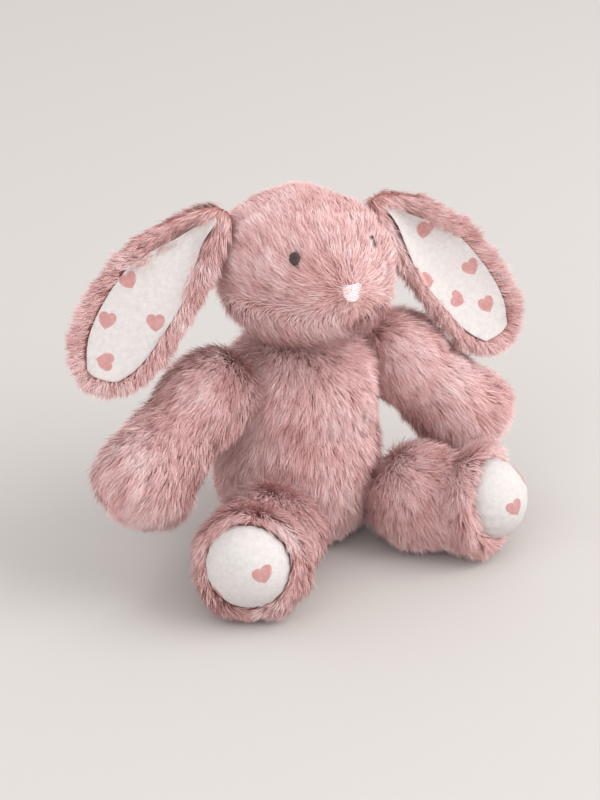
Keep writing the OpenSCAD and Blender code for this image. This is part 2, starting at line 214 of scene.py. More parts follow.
# %% Join and remesh the solids of a bag
def bag(name, nodes, voxel, rounds):
    """One closed smooth shell around the solids of some nodes."""
    joined = bmesh.new()
    for node in nodes:
        joined.from_mesh(frame["nodes"][node].data)
    bmesh.ops.remove_doubles(joined, verts=joined.verts, dist=0.001 * MM)
    rough = bpy.data.meshes.new(name)
    joined.to_mesh(rough)
    joined.free()
    helper = mesh_object(name + "_helper", rough)
    remesh = helper.modifiers.new("voxels", "REMESH")
    remesh.mode = "VOXEL"
    remesh.voxel_size = voxel
    smooth = helper.modifiers.new("smooth", "SMOOTH")
    smooth.iterations = rounds
    made = mesh_object(name, outer_shell(evaluated_mesh(helper)))
    drop(helper)
    made.data.name = name
    made.data.shade_smooth()
    return made


# %% Every padded body
SIDES = ("left", "right")
BAGS = {
    "torso": ["belly_panel", "back_left_panel", "back_right_panel", "seat_panel"],
    "head": ["head_gusset", "head_left_panel", "head_right_panel"],
    "tail": ["tail_cover"],
}
for side in SIDES:
    BAGS[side + "_arm"] = [side + "_arm_front_panel", side + "_arm_back_panel"]
    BAGS[side + "_leg"] = [side + "_leg_top_panel", side + "_leg_under_panel", side + "_foot_pad"]
    BAGS[side + "_ear"] = [side + "_ear_back"]
FILLINGS = {
    "torso": ["torso_stuffing", "pellet_bag"],
    "head": ["head_stuffing"],
    "tail": ["tail_stuffing"],
    "left_arm": ["left_arm_stuffing"],
    "right_arm": ["right_arm_stuffing"],
    "left_leg": ["left_leg_stuffing"],
    "right_leg": ["right_leg_stuffing"],
}
padded = {}
for name, panels in BAGS.items():
    ear = name.endswith("ear")
    voxel = 1.6 * MM if ear else 2.6 * MM
    padded[name] = bag(name + "_padded_body", panels + FILLINGS.get(name, []), voxel, 2 if ear else 6)
    print(name, len(padded[name].data.vertices), "points")


# %% Points as arrays
def read_points(mesh):
    """The points of a mesh and the way the surface faces at each, as arrays."""
    points = np.empty(len(mesh.vertices) * 3)
    mesh.vertices.foreach_get("co", points)
    facing = np.empty(len(mesh.vertices) * 3)
    mesh.vertex_normals.foreach_get("vector", facing)
    return points.reshape(-1, 3), facing.reshape(-1, 3)


def write_points(mesh, points):
    """Moves the points of a mesh."""
    mesh.vertices.foreach_set("co", np.ascontiguousarray(points, float).ravel())
    mesh.update()


def step_between(values, low, high):
    """0 below low, 1 above high, and smooth between."""
    share = np.clip((values - low) / (high - low), 0, 1)
    return share * share * (3 - 2 * share)


def near(points, spot, low, high):
    """1 within low of a spot, 0 beyond high, and smooth between."""
    far = np.linalg.norm(points - spot, axis=1)
    return step_between(-far, -high, -low)


def middle(node):
    """The middle of a node's box."""
    low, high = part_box(node)
    return (np.array(low) + np.array(high)) / 2


def pivot(joint):
    """The point that a joint turns about."""
    found = [j for j in frame["joints"] if j["name"] == joint]
    return np.array(found[0]["pos_m"])


# %% [markdown]
# The pile stands on the cloth, so the cloth lies deeper than the toy's outline. Where two bags
# meet, at the neck, the shoulders and the hips, the body is left fuller, so that the pile of
# one bag runs into the next. Stuffing is never even, so a few crossing waves raise and sink
# the surface a little.

# %% How deep the cloth lies
PILE = 4.2 * MM
EAR_PILE = 2.3 * MM


def pile_depth(name, points):
    """How far in the body lies: less at the shoulders, hips and neck, where bags meet."""
    if name.endswith("ear"):
        return np.full(len(points), EAR_PILE)
    depth = np.full(len(points), PILE)
    if name == "torso":
        top = np.clip((points[:, 2] - 62 * MM) / (26 * MM), 0, 1)
        depth -= 6.5 * MM * top * top * (3 - 2 * top)
    if name == "head":
        chin = np.clip((124 * MM - points[:, 2]) / (20 * MM), 0, 1)
        depth += 3.5 * MM * chin
        depth -= 4.5 * MM * near(points, middle("nose") + [0, 10 * MM, -5 * MM], 10 * MM, 27 * MM)
        depth -= 4 * MM * near(points, pivot("head_nod"), 12 * MM, 28 * MM)
        depth += 1.5 * MM * near(points, middle("head_gusset") + [0, 0, 30 * MM], 10 * MM, 34 * MM)
        for side in SIDES:
            depth += 2.2 * MM * near(points, middle(side + "_eye"), 2 * MM, 12 * MM)
    if name.endswith("arm"):
        depth -= 5.5 * MM * near(points, pivot(name + "_swing"), 16 * MM, 34 * MM)
    if name.endswith("leg"):
        depth -= 6 * MM * near(points, pivot(name + "_lift"), 16 * MM, 36 * MM)
    return depth


def lumps(points, size, number):
    """A smooth random height for each point, made of a few crossing waves."""
    rng = np.random.default_rng(number)
    total = np.zeros(len(points))
    for _ in range(9):
        way = rng.normal(size=3)
        way /= np.linalg.norm(way)
        wave = size * rng.uniform(0.6, 1.4)
        total += np.sin(points @ way * 2 * math.pi / wave + rng.uniform(0, 2 * math.pi))
    return total / 4.5


# %% Move the bodies in by the depth of the pile
LUMP_HEIGHT = 0.9 * MM
LUMP_SIZE = 30 * MM
# where a bag rests on the floor its pile is pressed flat
RESTS_BELOW = 9 * MM
PRESSED_PILE = 1.6 * MM

for number, (name, body) in enumerate(padded.items()):
    points, facing = read_points(body.data)
    depth = pile_depth(name, points)
    if not name.endswith("ear"):
        depth = depth + LUMP_HEIGHT * lumps(points, LUMP_SIZE, number)
    moved = points - facing * depth[:, None]
    rests = (points[:, 2] < RESTS_BELOW) & (facing[:, 2] < 0)
    moved[rests, 2] = np.minimum(moved[rests, 2], points[rests, 2] + PRESSED_PILE)
    write_points(body.data, moved)


# %% [markdown]
# Stuffing pushes a bag out between its seams. A cloth modifier with pressure inside and no
# gravity does the same. It runs for a short time, and no point may move further than a limit,
# because the outline is already right. The ears are flat and are left as they are.

# %% Swell the bodies as stuffing does
SWELL_LIMIT = 1.2 * MM
SWELL_FRAMES = 20


def swell(bodies):
    """Blows the bodies up a little as cloth, and holds each point near where it was."""
    starts = {}
    for name, body in bodies.items():
        starts[name] = read_points(body.data)[0]
        cloth = body.modifiers.new("stuffing", "CLOTH")
        cloth.settings.mass = 0.001
        cloth.settings.tension_stiffness = 2
        cloth.settings.compression_stiffness = 2
        cloth.settings.use_pressure = True
        cloth.settings.uniform_pressure_force = 4
        cloth.settings.effector_weights.gravity = 0
        cloth.point_cache.frame_end = SWELL_FRAMES
    for step in range(1, SWELL_FRAMES + 1):
        scene.frame_set(step)
    graph = bpy.context.evaluated_depsgraph_get()
    for name, body in bodies.items():
        swollen = read_points(body.evaluated_get(graph).data)[0]
        move = swollen - starts[name]
        length = np.linalg.norm(move, axis=1, keepdims=True)
        move *= np.minimum(1, SWELL_LIMIT / np.maximum(length, 1e-9))
        print(name, "swells by", round(float(length.mean()) / MM, 2), "mm before the limit")
        body.modifiers.remove(body.modifiers["stuffing"])
        write_points(body.data, starts[name] + move)
    scene.frame_set(1)


swell({name: body for name, body in padded.items() if not name.endswith("ear")})


# %% [markdown]
# ## Combing the pile
# Pile has a lay: each strand leans the way the cloth was combed. Before any strand is made,
# every point of a padded body is given that direction, the strand's length and how steeply it
# stands. On this toy the pile runs down the torso, along the arms, over the legs and round the
# foot rims, out to the edges of the ears, and away from the nose over the face.

# %% Where things are
def unit(rows):
    """Vectors made one unit long."""
    return rows / np.maximum(np.linalg.norm(rows, axis=-1, keepdims=True), 1e-9)


UP = np.array([0.0, 0.0, 1.0])
nose_at = middle("nose")
eyes_at = {side: middle(side + "_eye") for side in SIDES}


def node_points(node):
    """The points of a CAD node."""
    return read_points(frame["nodes"][node].data)[0]


def farthest(node, start):
    """The point of a node that is farthest from a start."""
    points = node_points(node)
    return points[np.argmax(np.linalg.norm(points - start, axis=1))]


# %% Lay of the torso and the tail
def comb_torso(points, facing):
    """Down, and a little outwards from the middle line."""
    lay = np.tile(-UP, (len(points), 1))
    lay[:, 0] += points[:, 0] / 0.12
    collar = step_between(points[:, 2], 84 * MM, 100 * MM)
    lay += unit(points * [1, 1, 0]) * collar[:, None]
    return lay, 11 * MM + 2 * MM * collar, 0.5 + 0.4 * collar


def comb_tail(points, facing):
    """Away from the torso on every side, like a puff."""
    start = pivot("tail_wag") - np.array([0, 8 * MM, 0])
    way = unit(points - start) + UP * 0.35
    return way, np.full(len(points), 8 * MM), np.full(len(points), 0.55)


# %% [markdown]
# The pile of the head starts at the nose, sweeps up over the brow and back over the crown, and
# turns down and forward along the jaw, where it is longer. Round each eye it is short and
# parted.

# %% Lay of the head
def comb_head(points, facing):
    """Away from the nose and up over the crown, forward along the jaw, parted at the eyes."""
    from_nose = points - nose_at
    reach = np.linalg.norm(from_nose, axis=1)
    front = 1 - step_between(points[:, 1], -30 * MM, 14 * MM)
    lay = unit(from_nose) + UP * (0.75 * front * step_between(reach, 6 * MM, 26 * MM))[:, None]
    jaw = 1 - step_between(points[:, 2] - nose_at[2], -13 * MM, -2 * MM)
    jaw *= 1 - step_between(points[:, 1], -8 * MM, 22 * MM)
    jaw *= step_between(reach, 8 * MM, 16 * MM)
    forward = np.array([0, -0.75, -0.75]) - points * [6, 0, 0]
    lay = lay * (1 - jaw)[:, None] + forward * jaw[:, None]
    behind = step_between(points[:, 1], 0 * MM, 28 * MM)
    lay = lay - UP * (1.1 * behind)[:, None]
    crown = step_between(points[:, 2], 160 * MM, 176 * MM)
    under = 1 - step_between(points[:, 2], 108 * MM, 120 * MM)
    length = 10 * MM + 3.5 * MM * jaw - 2 * MM * crown
    length *= 0.42 + 0.58 * step_between(reach, 6 * MM, 20 * MM)
    rise = 0.38 - 0.12 * crown + 0.15 * under + 0.2 * jaw
    for eye in eyes_at.values():
        away = points - eye
        far = np.linalg.norm(away, axis=1)
        beside = 1 - step_between(far, 3 * MM, 9 * MM)
        lay = lay * (1 - 0.7 * beside)[:, None] + unit(away) * (0.7 * beside)[:, None]
        length *= 0.38 + 0.62 * step_between(far, 3.5 * MM, 10 * MM)
    return lay, length, rise


# %% [markdown]
# The pile of an arm runs from the shoulder to the paw and turns outwards there. The pile of a
# leg runs down towards the foot, then round the rim of the sole, and beside the pad it leans a
# little over the pad's edge.

# %% Lay of the arms and legs
def comb_arm(side):
    """Along the arm, and out from its middle at the paw."""
    start = pivot(side + "_arm_swing")
    tip = farthest(side + "_arm_back_panel", start)
    along = unit(tip - start)
    centre = start + (tip - start) * 0.62

    def comb(points, facing):
        share = (points - start) @ along / np.linalg.norm(tip - start)
        paw = step_between(share, 0.5, 0.85)[:, None]
        lay = along * (1 - 0.6 * paw) + unit(points - centre) * 1.2 * paw - UP * 0.25
        return lay, 11 * MM + 2 * MM * paw[:, 0], np.full(len(points), 0.5)

    return comb


def comb_leg(side):
    """Over the leg and down, and round the rim of the sole."""
    start = pivot(side + "_leg_lift")
    sole = middle(side + "_foot_pad")
    along = unit((sole - start) * [1, 1, 0])
    low_corner, high_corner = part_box(side + "_foot_pad")
    pad_radius = (high_corner[2] - low_corner[2]) / 2

    def comb(points, facing):
        rim = step_between(facing @ along, 0.35, 0.8)[:, None]
        out = points - sole
        out = out - (out @ along)[:, None] * along
        reach = np.linalg.norm(out, axis=1)
        out = unit(out)
        low = 1 - step_between(points[:, 2] - sole[2], -16 * MM, 4 * MM)[:, None]
        around = np.cross(along, out)
        around *= -np.sign(around[:, 2:3] + 1e-9)
        lay = along * 0.75 - UP * 0.9
        lip = rim * (1 - step_between(reach, pad_radius, pad_radius + 5 * MM))[:, None]
        spread = out * (0.15 + 0.5 * low)
        lay = lay * (1 - rim) + rim * (around * 0.9 + spread * (1 - lip) - out * 0.55 * lip)
        length = 11 * MM - 2 * MM * rim[:, 0]
        return lay, length, 0.5 + 0.25 * rim[:, 0] + 0.25 * lip[:, 0]

    return comb


# %% Lay of the ears
def ear_axes(side):
    """An ear's root, its direction to the tip, its direction across, and the way it faces."""
    root = pivot(side + "_ear_lift")
    tip = farthest(side + "_ear_back", root)
    along = unit(tip - root)
    lining = node_points(side + "_ear_lining")
    back_points = node_points(side + "_ear_back")
    spread = (lining - lining.mean(0)) - ((lining - lining.mean(0)) @ along)[:, None] * along
    across = unit(np.linalg.svd(spread, full_matrices=False)[2][0])
    face = np.cross(along, across)
    if face @ (lining.mean(0) - back_points.mean(0)) < 0:
        across = -across
        face = -face
    return root, tip, along, across, face


EAR_HALF_WIDTH = 17 * MM
NEIGHBOURS = 401


def comb_ear(side):
    """To the tip in the middle, and out over both edges."""
    root, tip, along, across, _ = ear_axes(side)

    def comb(points, facing):
        share = (points - root) @ along / np.linalg.norm(tip - root)
        middle_line = root + np.clip(share, 0, 1)[:, None] * (tip - root)
        out = (points - middle_line) @ across
        # the ear bends, so its middle line is found from the points beside each other
        order = np.argsort(share)
        smoothed = np.convolve(out[order], np.ones(NEIGHBOURS) / NEIGHBOURS, mode="same")
        centre = np.empty(len(points))
        centre[order] = smoothed
        side_share = np.clip((out - centre) / EAR_HALF_WIDTH, -1, 1)
        lay = along * 0.8 + across * (1.15 * side_share)[:, None]
        length = np.full(len(points), 9.5 * MM)
        return lay, length, np.full(len(points), 0.36)

    return comb


COMBS = {"torso": comb_torso, "tail": comb_tail, "head": comb_head}
for side in SIDES:
    COMBS[side + "_arm"] = comb_arm(side)
    COMBS[side + "_leg"] = comb_leg(side)
    COMBS[side + "_ear"] = comb_ear(side)


# %% Store the lay and the panel numbers
def store(mesh, name, kind, domain, values):
    """Writes one named attribute on a mesh."""
    made = mesh.attributes.new(name, kind, domain)
    key = "vector" if kind == "FLOAT_VECTOR" else "value"
    made.data.foreach_set(key, np.ascontiguousarray(values).ravel())


def solid_tree(node):
    """A search tree of a node's faces."""
    graph = bpy.context.evaluated_depsgraph_get()
    return BVHTree.FromObject(frame["nodes"][node], graph)


# %% Comb a body and number its panels
def comb(name):
    """Stores the lay, length, rise and panel of a padded body."""
    mesh = padded[name].data
    points, facing = read_points(mesh)
    lay, length, rise = COMBS[name](points, facing)
    lay = unit(lay - (lay * facing).sum(1, keepdims=True) * facing)
    floor_share = 1 - step_between(points[:, 2], 3 * MM, 12 * MM)
    length = length * (1 - 0.5 * floor_share)
    rise = rise * (1 - 0.7 * floor_share)
    store(mesh, "lay", "FLOAT_VECTOR", "POINT", lay)
    store(mesh, "strand_length", "FLOAT", "POINT", length)
    store(mesh, "rise", "FLOAT", "POINT", rise)
    trees = [solid_tree(panel) for panel in BAGS[name]]
    numbers = []
    for face in mesh.polygons:
        gaps = [tree.find_nearest(face.center)[3] for tree in trees]
        numbers.append(int(np.argmin(gaps)))
    return mesh, numbers


# %% [markdown]
# The cloth under a sole pad or an ear lining has no pile of its own to show. Its faces get a
# panel number that no panel has, so nothing grows there.

# %% Leave the cloth under the soles bare
BARE = 9


def cover_pad(name, numbers):
    """Leaves the part of a leg under its sole pad bare."""
    mesh = padded[name].data
    side = name.split("_")[0]
    sole = Vector(middle(side + "_foot_pad"))
    along = Vector(unit((middle(side + "_foot_pad") - pivot(side + "_leg_lift")) * [1, 1, 0]))
    low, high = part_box(side + "_foot_pad")
    radius = (high[2] - low[2]) / 2
    for face in mesh.polygons:
        off = face.center - sole
        beside = off - off.dot(along) * along
        if face.normal.dot(along) > 0.5 and beside.length < radius - 0.3 * MM:
            numbers[face.index] = BARE
    return numbers


# %% [markdown]
# An ear is folded lengthwise where it is sewn to the head, and the fold opens towards the tip.
# Two coordinates describe it: the share of the way along the ear, and the share of the way
# across its lining. The same channel is pressed into the padded ear and, later, its lining.

# %% Fold the ears
def ear_shares(side, points):
    """Each point's share along an ear, its share across, and the lining's half width there."""
    root, tip, along, across, _ = ear_axes(side)
    lining = node_points(side + "_ear_lining")
    length = np.linalg.norm(tip - root)
    steps = (lining - root) @ along / length
    sides = (lining - root) @ across
    places = np.linspace(steps.min(), steps.max(), 14)
    low = [sides[np.abs(steps - p) < 0.06].min() for p in places]
    high = [sides[np.abs(steps - p) < 0.06].max() for p in places]
    share = (points - root) @ along / length
    low_here = np.interp(share, places, low)
    high_here = np.interp(share, places, high)
    width = np.maximum(high_here - low_here, MM)
    return share, 2 * ((points - root) @ across - low_here) / width - 1, width / 2


def leaf_width(share):
    """The lining's width along the ear: gathered narrow at the root, full from the middle."""
    return 0.42 + 0.6 * step_between(share, 0.05, 0.45)


def channel(share, beside):
    """How far an ear is folded in along its middle: most near the root, nothing at its rim."""
    hollow = np.clip(1 - np.abs(beside) ** 2.2, 0, 1)
    start = step_between(share, -0.02, 0.16)
    return (7.0 - 6.0 * np.clip(share, 0, 1)) * MM * hollow * start


def fold_ear(side):
    """Presses the channel into an ear's padded body."""
    mesh = padded[side + "_ear"].data
    points, _ = read_points(mesh)
    share, beside, _ = ear_shares(side, points)
    face = ear_axes(side)[4]
    write_points(mesh, points - face * channel(share, beside)[:, None])


# %% Leave the cloth under the linings bare
def cover_lining(name, numbers):
    """Leaves the part of an ear under its lining bare."""
    mesh = padded[name].data
    side = name.split("_")[0]
    face_way = Vector(ear_axes(side)[4])
    tree = solid_tree(side + "_ear_lining")
    centres = np.array([tuple(face.center) for face in mesh.polygons])
    share, beside, _ = ear_shares(side, centres)
    inside = np.abs(beside) < leaf_width(share) - 0.02
    flat = centres + ear_axes(side)[4] * channel(share, beside)[:, None]
    for face in mesh.polygons:
        ahead = face.normal.dot(face_way) > 0.1
        start = Vector(flat[face.index])
        if ahead and inside[face.index] and tree.ray_cast(start, face_way, 0.02)[0]:
            numbers[face.index] = BARE
    return numbers


# %% Fold and comb every body
for side in SIDES:
    fold_ear(side)
for name in padded:
    mesh, numbers = comb(name)
    if name.endswith("leg"):
        numbers = cover_pad(name, numbers)
    if name.endswith("ear"):
        numbers = cover_lining(name, numbers)
    store(mesh, "panel", "INT", "FACE", numbers)

# %% [markdown]
# ## Growing the pile
# A strand is a narrow blade of two faces that bows outwards. Geometry Nodes scatter points
# over one panel, turn a blade along the lay at each, pull the tips of neighbours together
# into locks, and give each blade a tone. The tone and the way along the blade are kept as a
# UV map, so one small picture colours every strand.

# %% One blade
def blade_mesh(bow):
    """A blade one unit wide and long, rooted at the origin, that bows to +Y."""
    made = bpy.data.meshes.new("blade")
    corners = [(-0.5, 0, 0), (0.5, 0, 0), (-0.42, bow, 0.55), (0.42, bow, 0.55), (0, 0, 1)]
    made.from_pydata(corners, [], [(0, 2, 3, 1), (2, 4, 3)], shade_flat=False)
    store(made, "along", "FLOAT", "POINT", [0.0, 0.0, 0.55, 0.55, 1.0])
    store(made, "beside", "FLOAT", "POINT", [-1.0, 1.0, -1.0, 1.0, 0.0])
    return made


blade = mesh_object("blade", blade_mesh(0.13))

# %% [markdown]
# The tree scatters points over a panel and puts a blade on each. A function of its own gives a
# strand its turn, its tone, its size, its normals and its UV. Real pile gathers into locks, so
# two sizes of cells pull the strands towards their centres. Normals that lean towards those of
# the cloth let light spread over the pile as over a soft surface.

# %% The pile's inputs
PILE_INPUTS = {
    "Panel": ("NodeSocketInt", 0),
    "Density": ("NodeSocketFloat", 6.3e6),
    "Width": ("NodeSocketFloat", 0.34 * MM),
    "Lock size": ("NodeSocketFloat", 5.0 * MM),
    "Gather": ("NodeSocketFloat", 0.42),
    "Stray": ("NodeSocketFloat", 0.2),
    "Floor": ("NodeSocketFloat", 0.3 * MM),
    "Seed": ("NodeSocketInt", 1),
    "Strand": ("NodeSocketObject", None),
    "Material": ("NodeSocketMaterial", None),
}


def new_tree(name, inputs):
    """An empty Geometry Nodes tree with named inputs, its input node and its output node."""
    tree = bpy.data.node_groups.new(name, "GeometryNodeTree")
    tree.interface.new_socket("Geometry", in_out="INPUT", socket_type="NodeSocketGeometry")
    tree.interface.new_socket("Geometry", in_out="OUTPUT", socket_type="NodeSocketGeometry")
    for label, (kind, default) in inputs.items():
        socket = tree.interface.new_socket(label, in_out="INPUT", socket_type=kind)
        if default is not None:
            socket.default_value = default
    start = tree.nodes.new("NodeGroupInput")
    return tree, start.outputs, tree.nodes.new("NodeGroupOutput")


def named(tree, name, kind):
    """A named attribute's value."""
    return add(tree, "GeometryNodeInputNamedAttribute", {"Name": name}, data_type=kind).outputs[0]


def scaled(tree, vector, size):
    """A vector times a number."""
    return add(tree, "ShaderNodeVectorMath", {0: vector, "Scale": size},
        operation="SCALE").outputs[0]


def seeded(tree, given, number, low, high, kind="FLOAT"):
    """A random value for each point, with its own seed."""
    seed = maths(tree, "ADD", given["Seed"], number)
    made = add(tree, "FunctionNodeRandomValue", {"Seed": seed}, data_type=kind)
    low_name, high_name = (0, 1) if kind == "FLOAT_VECTOR" else (2, 3)
    made.inputs[low_name].default_value = low
    made.inputs[high_name].default_value = high
    return made.outputs[0 if kind == "FLOAT_VECTOR" else 1]


# %% Which way a strand goes
FULL_PULL = 9 * MM


def strand_turn(tree, given, place, normal, locks):
    """The turn of each strand: its lay, its rise, the pull of its lock, and a little chance."""
    small = maths(tree, "MULTIPLY", maths(tree, "DIVIDE", 1.0, given["Lock size"]), 2.6)
    tufts = add(tree, "ShaderNodeTexVoronoi", {"Vector": place, "Scale": small})
    swirl = add(tree, "ShaderNodeTexNoise", {"Vector": place, "Scale": 55.0, "Detail": 3.0,
        "Roughness": 0.6})
    swirl_way = vectors(tree, "SUBTRACT", swirl.outputs["Color"], (0.5, 0.5, 0.5))
    chance = maths(tree, "POWER", seeded(tree, given, 6, 0.0, 1.0), 5.0)
    spring = maths(tree, "MULTIPLY_ADD", chance, 1.5, 0.8)
    rise = maths(tree, "MULTIPLY", named(tree, "rise", "FLOAT"), spring)
    way = vectors(tree, "ADD", named(tree, "lay", "FLOAT_VECTOR"), scaled(tree, normal, rise))
    pull = maths(tree, "MULTIPLY", given["Gather"], 1 / FULL_PULL)
    for cells in (locks, tufts):
        to_centre = vectors(tree, "SUBTRACT", cells.outputs["Position"], place)
        way = vectors(tree, "ADD", way, scaled(tree, to_centre, pull))
    way = vectors(tree, "ADD", way, scaled(tree, swirl_way, 1.6))
    stray = seeded(tree, given, 1, (-1, -1, -1), (1, 1, 1), "FLOAT_VECTOR")
    way = vectors(tree, "ADD", way, scaled(tree, stray, given["Stray"]))
    turned = add(tree, "FunctionNodeAxesToRotation",
        {"Primary Axis": way, "Secondary Axis": normal}, primary_axis="Z", secondary_axis="Y")
    roll = add(tree, "FunctionNodeAxisAngleToRotation",
        {"Axis": (0, 0, 1), "Angle": seeded(tree, given, 2, -0.7, 0.7)})
    return add(tree, "FunctionNodeRotateRotation",
        {0: turned.outputs[0], 1: roll.outputs[0]}, rotation_space="LOCAL").outputs[0]


# %% A strand's tone, size and normals
def strand_tone(tree, given, place, locks):
    """0 for a dark strand to 1 for a light one: broad patches, and painted shade towards the edges of
    the locks, where the gaps between them lie in shade.
    """
    broad = add(tree, "ShaderNodeTexNoise", {"Vector": place, "Scale": 45.0, "Detail": 2.0})
    # painted shade: a strand is darker the further it stands from its lock's centre
    edge = maths(tree, "MULTIPLY", locks.outputs["Distance"], 0.45)
    tone = maths(tree, "SUBTRACT", maths(tree, "MULTIPLY", broad.outputs[0], 1.1), edge)
    tone = maths(tree, "ADD", tone, seeded(tree, given, 3, -0.27, 0.27))
    return add(tree, "ShaderNodeClamp", {0: maths(tree, "ADD", tone, 0.18)}).outputs[0]


def strand_size(tree, given, locks):
    """Width and length, shorter towards the edge of a lock."""
    shortened = maths(tree, "SUBTRACT", seeded(tree, given, 4, 0.82, 1.12),
        maths(tree, "MULTIPLY", locks.outputs["Distance"], 0.22))
    length = maths(tree, "MULTIPLY", named(tree, "strand_length", "FLOAT"), shortened)
    width = maths(tree, "MULTIPLY", given["Width"], seeded(tree, given, 5, 0.7, 1.3))
    return add(tree, "ShaderNodeCombineXYZ", {0: width, 1: length, 2: length}).outputs[0]


def softened(tree, blades):
    """Blades whose normals lean towards the normal of the cloth they grow on."""
    own = add(tree, "GeometryNodeInputNormal").outputs[0]
    soft = vectors(tree, "ADD", scaled(tree, named(tree, "skin", "FLOAT_VECTOR"), 0.75),
        scaled(tree, own, 0.45))
    soothed = add(tree, "GeometryNodeSetMeshNormal", {"Mesh": blades}, mode="FREE",
        domain="POINT")
    tree.links.new(vectors(tree, "NORMALIZE", soft), soothed.inputs["Custom Normal"])
    return soothed.outputs[0]


def strand_map(tree):
    """The UV of a strand: its tone across, and the way along it up."""
    tilt = maths(tree, "MULTIPLY", named(tree, "beside", "FLOAT"), 0.004)
    tone = maths(tree, "MULTIPLY_ADD", named(tree, "tone", "FLOAT"), 0.98, 0.01)
    along = maths(tree, "MULTIPLY_ADD", named(tree, "along", "FLOAT"), 0.96, 0.02)
    return add(tree, "ShaderNodeCombineXYZ", {0: maths(tree, "ADD", tone, tilt), 1: along}).outputs[0]


# %% The pile's tree
def pile_tree():
    """Scatters, turns and tints the blades of one panel."""
    tree, given, result = new_tree("pile", PILE_INPUTS)
    chosen = add(tree, "FunctionNodeCompare", {2: named(tree, "panel", "INT"), 3: given["Panel"]},
        data_type="INT", operation="EQUAL").outputs[0]
    spots = add(tree, "GeometryNodeDistributePointsOnFaces", {"Mesh": given["Geometry"],
        "Selection": chosen, "Density": given["Density"], "Seed": given["Seed"]})
    place = add(tree, "GeometryNodeInputPosition").outputs[0]
    normal = spots.outputs["Normal"]
    scale = maths(tree, "DIVIDE", 1.0, given["Lock size"])
    locks = add(tree, "ShaderNodeTexVoronoi", {"Vector": place, "Scale": scale})
    toned = add(tree, "GeometryNodeStoreNamedAttribute", {"Geometry": spots.outputs["Points"],
        "Name": "tone", "Value": strand_tone(tree, given, place, locks)}, data_type="FLOAT",
        domain="POINT")
    toned = add(tree, "GeometryNodeStoreNamedAttribute", {"Geometry": toned.outputs[0],
        "Name": "skin", "Value": normal}, data_type="FLOAT_VECTOR", domain="POINT")
    strand = add(tree, "GeometryNodeObjectInfo", {"Object": given["Strand"]})
    grown = add(tree, "GeometryNodeInstanceOnPoints", {"Points": toned.outputs[0],
        "Instance": strand.outputs["Geometry"], "Scale": strand_size(tree, given, locks),
        "Rotation": strand_turn(tree, given, place, normal, locks)})
    real = add(tree, "GeometryNodeRealizeInstances", {"Geometry": grown.outputs[0]})
    parts = add(tree, "ShaderNodeSeparateXYZ", {0: place})
    height = maths(tree, "MAXIMUM", parts.outputs[2], given["Floor"])
    raised = add(tree, "ShaderNodeCombineXYZ", {0: parts.outputs[0], 1: parts.outputs[1], 2: height})
    held = add(tree, "GeometryNodeSetPosition",
        {"Geometry": real.outputs[0], "Position": raised.outputs[0]})
    mapped = add(tree, "GeometryNodeStoreNamedAttribute", {"Name": "OFBake",
        "Geometry": softened(tree, held.outputs[0]), "Value": strand_map(tree)},
        data_type="FLOAT2", domain="CORNER")
    tinted = add(tree, "GeometryNodeSetMaterial",
        {"Geometry": mapped.outputs[0], "Material": given["Material"]})
    tree.links.new(tinted.outputs[0], result.inputs[0])
    return tree


pile = pile_tree()

# %% [markdown]
# Pile is darkest at its roots, a painted shade where light can't reach, and palest at its tips,
# a painted highlight where light catches them. The material reads both from the strands' UV
# map, so it needs no picture. A weak sheen gives the bright rim that fibres show at a grazing angle.

# %% Material of the pile
def ramp(tree, factor, stops):
    """A colour ramp through (place, colour) stops."""
    made = add(tree, "ShaderNodeValToRGB", {0: factor})
    elements = made.color_ramp.elements
    while len(elements) < len(stops):
        elements.new(0.5)
    for element, (place, colour) in zip(elements, stops):
        element.position = place
        element.color = colour
    return made.outputs[0]


def mix(tree, factor, first, second):
    """Two colours mixed."""
    return add(tree, "ShaderNodeMix", {0: factor, 6: first, 7: second}, data_type="RGBA").outputs[2]


def pile_material(name, roots, tips):
    """Strands that go from a root colour of painted shade to a tip colour of painted highlight, each
    a little lighter or darker.
    """
    made, tree, shader = new_material(name)
    spot = add(tree, "ShaderNodeUVMap", uv_map="OFBake").outputs[0]
    parts = add(tree, "ShaderNodeSeparateXYZ", {0: spot})
    root = ramp(tree, parts.outputs[0], roots)
    tip = ramp(tree, parts.outputs[0], tips)
    # painted shade at the root turning to painted highlight at the tip, along each strand
    along = maths(tree, "POWER", parts.outputs[1], 0.68)
    tree.links.new(mix(tree, along, root, tip), shader.inputs["Base Color"])
    shader.inputs["Roughness"].default_value = 0.62
    shader.inputs["Specular IOR Level"].default_value = 0.25
    shader.inputs["Sheen Weight"].default_value = 0.25
    shader.inputs["Sheen Roughness"].default_value = 0.4
    shader.inputs["Sheen Tint"].default_value = rgb(255, 225, 225)
    return made


# root stops are painted shade, tip stops are painted highlight
rose_pile = pile_material("rose_pile",
    [(0, rgb(158, 96, 86)), (0.5, rgb(200, 139, 131)), (1, rgb(224, 175, 169))],
    [(0, rgb(207, 155, 151)), (0.45, rgb(232, 191, 190)), (1, rgb(252, 237, 238))])


# %% [markdown]
# Each panel's pile is an object of its own, because each panel is a piece of its own in the
# frame. The modifier's inputs are set by their sockets' identifiers, and the evaluated result
# becomes a plain mesh.

# %% Grow one panel
LEFTOVERS = ("tone", "along", "beside", "lay", "rise", "strand_length", "panel", "skin")


def run_tree(helper, tree, values):
    """The mesh that a Geometry Nodes tree makes of a helper, which is then removed."""
    growth = helper.modifiers.new(tree.name, "NODES")
    growth.node_group = tree
    sockets = {s.name: s.identifier for s in tree.interface.items_tree if s.in_out == "INPUT"}
    for label, value in values.items():
        growth[sockets[label]] = value
    mesh = evaluated_mesh(helper)
    drop(helper)
    return mesh


